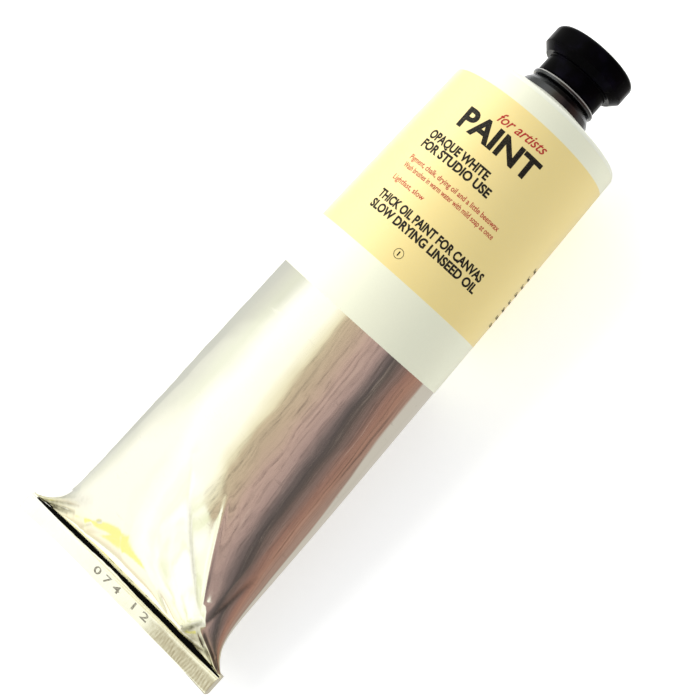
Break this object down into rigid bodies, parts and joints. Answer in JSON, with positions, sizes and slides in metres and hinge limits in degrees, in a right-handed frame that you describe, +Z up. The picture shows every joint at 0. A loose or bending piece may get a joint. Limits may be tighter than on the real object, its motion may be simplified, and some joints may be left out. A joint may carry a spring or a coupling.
{
  "type": "paint tube",
  "caption": "Large collapsible metal artists' paint tube with a folded tail, printed wrap, threaded nozzle and a screw cap with a wide disc top.",
  "frame": {"origin": "on the table, under the middle of the tube's whole length and width", "axes": "+X along the tube towards the cap, +Y across it, +Z up; the nozzle points 3.33 degrees up from +X, because the barrel tapers and lies on its belly"},
  "size_m": [0.1596, 0.062, 0.0408],
  "materials": {
    "bare_aluminium": "bright rolled sheet",
    "seal_compound": "matt",
    "white_paint": "buttery paste",
    "printed_wrap": "satin print",
    "black_plastic": "glossy",
    "liner_foam": "matt"
  },
  "bodies": {
    "tube": {"tube_body": "bare_aluminium", "tail_seal_band": "seal_compound", "paint_fill": "white_paint", "label_wrap": "printed_wrap"},
    "cap_seal": {"cap_liner": "liner_foam"},
    "screw_cap": {"cap": "black_plastic"}
  },
  "joints": [
    {"name": "cap_travel", "type": "slide", "parent": "tube", "child": "cap_seal", "axis": [0.9983, 0, 0.0581], "range_m": [0, 0.0121]},
    {"name": "cap_turn", "type": "hinge", "parent": "cap_seal", "child": "screw_cap", "pos_m": [0.06894, 0, 0.02081], "axis": [0.9983, 0, 0.0581], "range_deg": [0, 2160]}
  ],
  "couplings": [
    {"joint": "cap_travel", "follows": "cap_turn", "m_per_rad": 0.00031831}
  ]
}
